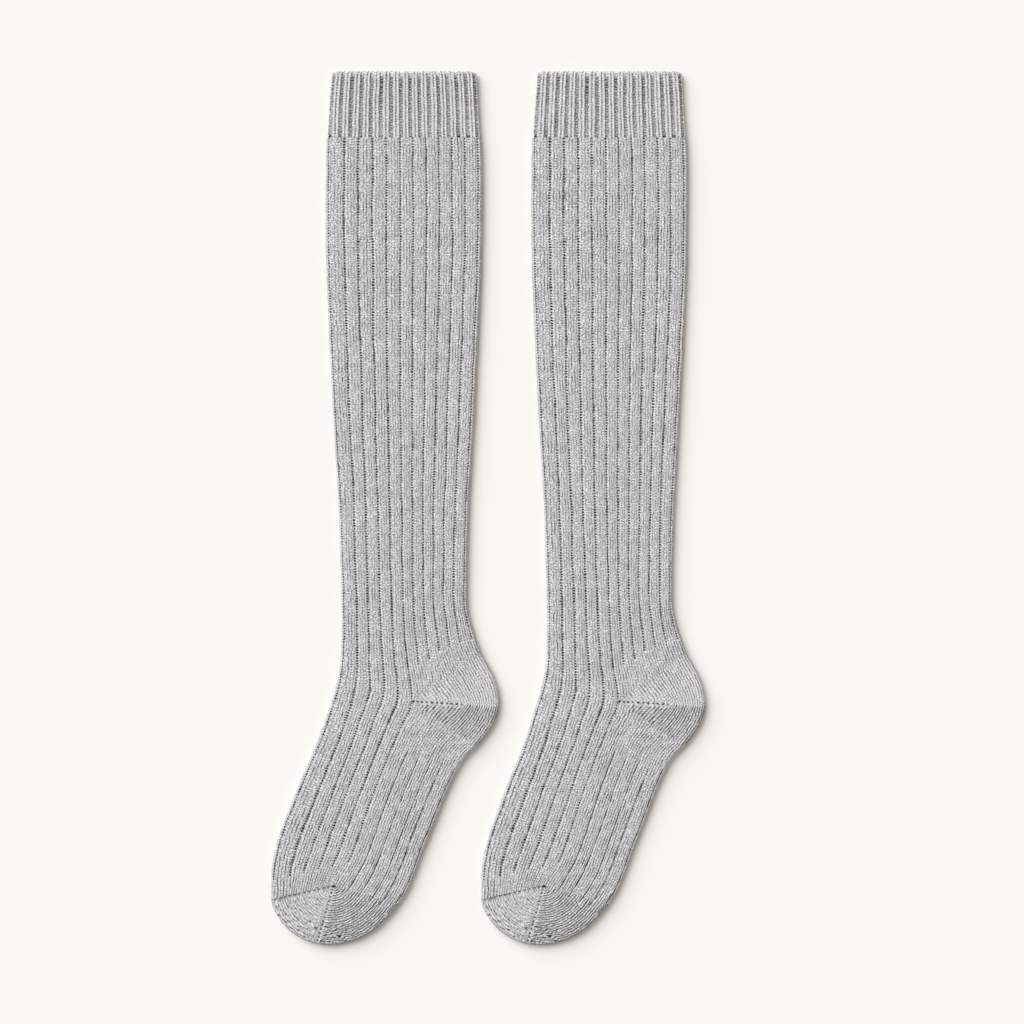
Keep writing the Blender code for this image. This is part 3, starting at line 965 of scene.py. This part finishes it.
def dottedLine(add, look, lineName, sway, stroke):
    # a gore or the linking seam: a row of dots of painted shade, with a darker spot at its start
    width, joined = look[lineName]
    place = add("Attribute", attribute_name=lineName).outputs["Vector"]
    along, away, fromStart = add("SeparateXYZ", (place,)).outputs
    uneven = add("Math", (sway, 0.9, along), "MULTIPLY_ADD")
    wide = add("MapRange", (stroke, 0.35, 0.65, 0.6 * width, 1.3 * width))
    wide = add("Math", (wide, 0.8), "ADD")
    wobbly = add("Math", (stroke, 1.6, away), "MULTIPLY_ADD")
    near = add("MapRange", (wobbly, 0.8, wide, 1.0, 0.0), "SMOOTHSTEP")
    hole = add("Math", (uneven, 0.5), "PINGPONG")
    hole = add("MapRange", (hole, 0.16, 0.32, joined, 1.0))
    shade = add("Math", (near, hole), "MULTIPLY")
    startSpot = add("MapRange", (fromStart, 1.4, 2.6, 1.0, 0.0), "SMOOTHSTEP")
    shade = add("Math", (shade, startSpot), "MAXIMUM")
    return add("Math", (shade, look["grooveShade"]), "MULTIPLY")


def marledColour(add, look, marl, rice, spot):
    # each bit of yarn is lighter or darker, in patches that come and go
    tone = add("ValToRGB", (marl,))
    ramp = tone.color_ramp
    ramp.elements[0].position, ramp.elements[1].position = look["marlReach"]
    ramp.elements[0].color = linearColour(look["darkFibre"])
    ramp.elements[1].color = linearColour(look["lightFibre"])
    ramp.elements.new(0.5).color = linearColour(look["middleFibre"])
    cloud = {"Vector": spot, "Scale": look["cloudScale"], "Detail": 4.0, "Roughness": 0.6}
    cloud = add("TexNoise", cloud)
    patch = add("MapRange", (cloud, 0.3, 0.7, 0.86, 1.10))
    tinted = add("VectorMath", (tone, patch), "MULTIPLY")
    grain = add("MapRange", (rice, 0.3, 0.7, 0.78, 1.17))
    return add("VectorMath", (tinted, grain), "MULTIPLY")


def knitHeight(add, strand, wale, loop, openingAndShade, rice, marl):
    # the bump's height in millimetres
    raised = add("MapRange", (wale, 0.0, 0.3, 0.0, 0.34), "SMOOTHSTEP")
    ridges = add("Math", (strand, 0.35, raised), "MULTIPLY_ADD")
    strandHeight = add("Math", (ridges, openingAndShade), "MULTIPLY")
    loopHeight = add("MapRange", (loop, 0.0, 0.2, 0.0, 0.10), "SMOOTHSTEP")
    height = add("Math", (strandHeight, loopHeight), "ADD")
    height = add("Math", (rice, 0.35, height), "MULTIPLY_ADD")
    return add("Math", (marl, 0.25, height), "MULTIPLY_ADD")


def heatherKnit(name, look, pattern):
    material = bpy.data.materials.new(name)
    material.use_nodes = True
    tree = material.node_tree
    tree.nodes.clear()
    add = partial(addNode, tree)
    stitch = add("UVMap", uv_map="stitch")
    spot = add("TexCoord").outputs["Object"]
    # how open the stitches are: it raises the bump, and sets how much painted shade lies in their gaps
    openingAndShade = add("Attribute", attribute_name="open").outputs["Fac"]
    sway, tangle, loose = swayedStitches(add, look, pattern, stitch)
    across, alongWale = add("SeparateXYZ", (loose,)).outputs[:2]

    # wale is 0 between two wales and 0.5 in the middle of one
    if pattern == "cuff":
        wale, waleGap, furrow = cuffWales(add, across)
    else:
        wale = add("Math", (across, 0.5), "PINGPONG")
        waleGap = add("MapRange", (wale, 0.03, 0.22, 1.0, 0.0), "SMOOTHSTEP")
    strand = add("Math", (across, 0.25), "PINGPONG")
    slant = add("Math", (wale, 0.9, alongWale), "MULTIPLY_ADD")
    loop = add("Math", (slant, 0.5), "PINGPONG")  # 0 where one stitch meets the next

    # painted shade in the gaps between the wales, in short, frayed strokes, and where one stitch meets
    # the next
    strokeLength = add("MapRange", (tangle, 0.0, 1.0, 0.3, 0.75))
    stretched = add("CombineXYZ", (1.1, strokeLength, 1.0))
    stretched = add("VectorMath", (loose, stretched), "MULTIPLY")
    stroke = add("TexNoise", {"Vector": stretched, "Scale": 1.0, "Detail": 2.0}, "2D")
    strokeShade = add("MapRange", (stroke, 0.40, 0.62, look["strokeLeast"][pattern], 1.5))
    rice = add("TexNoise", {"Vector": spot, "Scale": look["riceScale"], "Detail": 0.0})
    fray = add("MapRange", (rice, 0.35, 0.65, 0.6, 1.4))
    frayed = add("Math", (strokeShade, fray), "MULTIPLY")
    paintedShade = waleGap
    for factor in (frayed, openingAndShade, look["gapShade"]):
        paintedShade = add("Math", (paintedShade, factor), "MULTIPLY")
    loopShade = add("MapRange", (loop, 0.0, 0.16, look["loopShade"], 0.0))
    paintedShade = add("Math", (paintedShade, loopShade), "ADD")

    # painted shade in the cuff's furrows, or in the holes down each groove
    if pattern == "cuff":
        furrowShade = ladderShade(add, stitch, loose, alongWale, furrow, stroke)
        paintedShade = add("Math", (paintedShade, furrowShade), "MAXIMUM")
    else:
        groove = add("Attribute", attribute_name="groove").outputs["Fac"]
        line, dots, shade = grooveLine(add, look, stitch, groove, alongWale, stroke)
        aside = add("MapRange", (groove, 0.3, 0.55, 1.0, 0.0))
        paintedShade = add("Math", (paintedShade, aside), "MULTIPLY")
        paintedShade = add("Math", (paintedShade, shade), "MAXIMUM")
    # painted shade along the gores and the linking seam
    if pattern == "plain":
        for lineName in ("gore", "seam"):
            shade = dottedLine(add, look, lineName, sway, stroke)
            paintedShade = add("Math", (paintedShade, shade), "MAXIMUM")

    marl = add("TexNoise", {"Vector": stitch, "Scale": look["marlScale"], "Detail": 0.0}, "2D")
    mottled = marledColour(add, look, marl, rice, spot)
    curl = add("TexNoise", {"Vector": spot, "Scale": look["curlScale"], "Detail": 1.0, "Distortion": 1.6})
    hair = add("Math", (curl, 0.5, look["hairWidth"]), "COMPARE")
    hair = add("MapRange", (hair, 0.0, 1.0, 0.0, look["hairLight"]))
    # painted highlight along the crest of each wale
    crest = add("MapRange", (wale, 0.15, 0.42, 0.0, look["crestLight"][pattern]), "SMOOTHSTEP")
    lifted = add("Math", (openingAndShade, 1.0), "PINGPONG")  # the most open stitches lie lower again
    # painted light on the halves of the heel and toe that face the light; the hairs' own paleness is
    # added to it
    pale = add("Attribute", attribute_name="pale").outputs["Fac"]
    pale = add("Math", (hair, pale), "ADD")
    light = add("Math", (crest, lifted, pale), "MULTIPLY_ADD", use_clamp=True)
    if pattern != "cuff":  # painted highlight on the rungs between the holes
        rung = add("Math", (line, dots), "SUBTRACT")
        rung = add("Math", (rung, look["rungLight"]), "MULTIPLY")
        light = add("Math", (light, rung), "MAXIMUM")
    # the pale hairs and the painted highlights, then the painted shade
    withHighlights = add("Mix", {0: light, 6: mottled, 7: linearColour(look["fuzzAndHighlight"])}, data_type="RGBA")
    colour = add("Mix", {0: paintedShade, 6: withHighlights.outputs[2], 7: linearColour(look["shade"])}, data_type="RGBA")

    height = knitHeight(add, strand, wale, loop, openingAndShade, rice, marl)
    bump = add("Bump", {"Strength": 0.9, "Distance": 0.001, "Height": height})
    cloth = add("BsdfPrincipled", {
        "Base Color": colour.outputs[2], "Roughness": look["roughness"], "Normal": bump,
        "Sheen Weight": look["sheen"], "Sheen Roughness": look["sheenRoughness"],
        "Specular IOR Level": look["specular"],
    })
    add("OutputMaterial", {"Surface": cloth})
    return material


# each piece's maker and slot, and its cut as it shows, all round: width and length
# in metres, and the area where it isn't a rectangle
pieces = {
    "cuff": (makeCuff, "cuff_rib_knit", (0.209, 0.046), None),
    "leg": (makeLeg, "leg_rib_knit", (0.212, 0.383), 0.0729),
    "heel": (makeHeel, "plain_knit", (0.119, 0.072), 0.0043),
    "foot": (makeFoot, "leg_rib_knit", (0.212, 0.155), 0.0263),
    "toe": (makeToe, "plain_knit", (0.092, 0.112), 0.0049),
}
seedStep = 20  # from one piece's random numbers to the next one's


def makeSock(sock, seed, materials):
    for number, (part, (make, slot, flat, area)) in enumerate(pieces.items()):
        print(f"knitting the {sock} {part}")
        piece = finishCloth(sock, part, *make(seed + seedStep * number))
        piece.data.materials.append(materials[slot])
        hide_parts(f"{sock}_{part}")
        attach(piece, "root")


studio = {
    "frameWidth": 0.696,  # of the surface that the picture shows, in metres
    "surfaceHeight": 0.005,  # of that surface, the socks' upper side
    "lens": 85.0,
    "sensor": 36.0,
    "lookAt": (0.0162, -0.0026),
    "floorColour": "#f7f6f3",
    "floorSize": 6,
    "floorHeight": -0.0002,
    "sunStrength": 3.30,
    "sunAngle": 54.0,  # a wide window, which gives soft shadows
    "sunElevation": 37.5,
    "sunSide": (-0.707, 0.707),  # from the upper left
    "sunColour": (0.94, 0.97, 1.0),
    "skyColour": (1.0, 0.94, 0.85, 1),
    "skyStrength": 0.41,
}


def makeStudio():
    print("placing the camera, the floor and the lights")
    scene = bpy.context.scene
    cameraData = bpy.data.cameras.new("photoCamera")
    cameraData.lens, cameraData.sensor_width = studio["lens"], studio["sensor"]
    camera = bpy.data.objects.new("photoCamera", cameraData)
    distance = studio["frameWidth"] * studio["lens"] / studio["sensor"]
    camera.location = (*studio["lookAt"], distance + studio["surfaceHeight"])
    scene.collection.objects.link(camera)
    bpy.context.scene.camera = camera

    bpy.ops.object.select_all(action="DESELECT")
    bpy.ops.mesh.primitive_plane_add(size=studio["floorSize"], location=(0, 0, studio["floorHeight"]))
    floor = bpy.context.object
    floor.name = "floor"
    # uncoated paper on a table: pale and matt, so it shows the soft shadows and no glints
    paper = bpy.data.materials.new("matt paper")
    paper.use_nodes = True
    shader = paper.node_tree.nodes["Principled BSDF"]
    shader.inputs["Base Color"].default_value = linearColour(studio["floorColour"])
    shader.inputs["Roughness"].default_value = 1.0
    shader.inputs["Specular IOR Level"].default_value = 0.0
    floor.data.materials.append(paper)

    sun = bpy.data.lights.new("window", "SUN")
    sun.energy, sun.angle = studio["sunStrength"], math.radians(studio["sunAngle"])
    sun.color = studio["sunColour"]
    lamp = bpy.data.objects.new("window", sun)
    elevation = math.radians(studio["sunElevation"])
    sideX, sideY = (math.cos(elevation) * side for side in studio["sunSide"])
    towards = Vector((sideX, sideY, math.sin(elevation)))
    lamp.rotation_euler = towards.to_track_quat("Z", "Y").to_euler()
    scene.collection.objects.link(lamp)

    world = bpy.data.worlds.new("room")
    scene.world = world
    world.use_nodes = True
    sky = world.node_tree.nodes["Background"]
    sky.inputs["Color"].default_value = studio["skyColour"]
    sky.inputs["Strength"].default_value = studio["skyStrength"]
    scene.view_settings.view_transform = "Standard"
    scene.view_settings.look = "None"


makeStudio()
materials = {
    "cuff_rib_knit": heatherKnit("heather cuff rib", heatherYarn, "cuff"),
    "leg_rib_knit": heatherKnit("heather broad rib", heatherYarn, "rib"),
    "plain_knit": heatherKnit("heather plain knit", heatherYarn, "plain"),
}
makeSock("sock_1", 100, materials)
makeSock("sock_2", 500, materials)
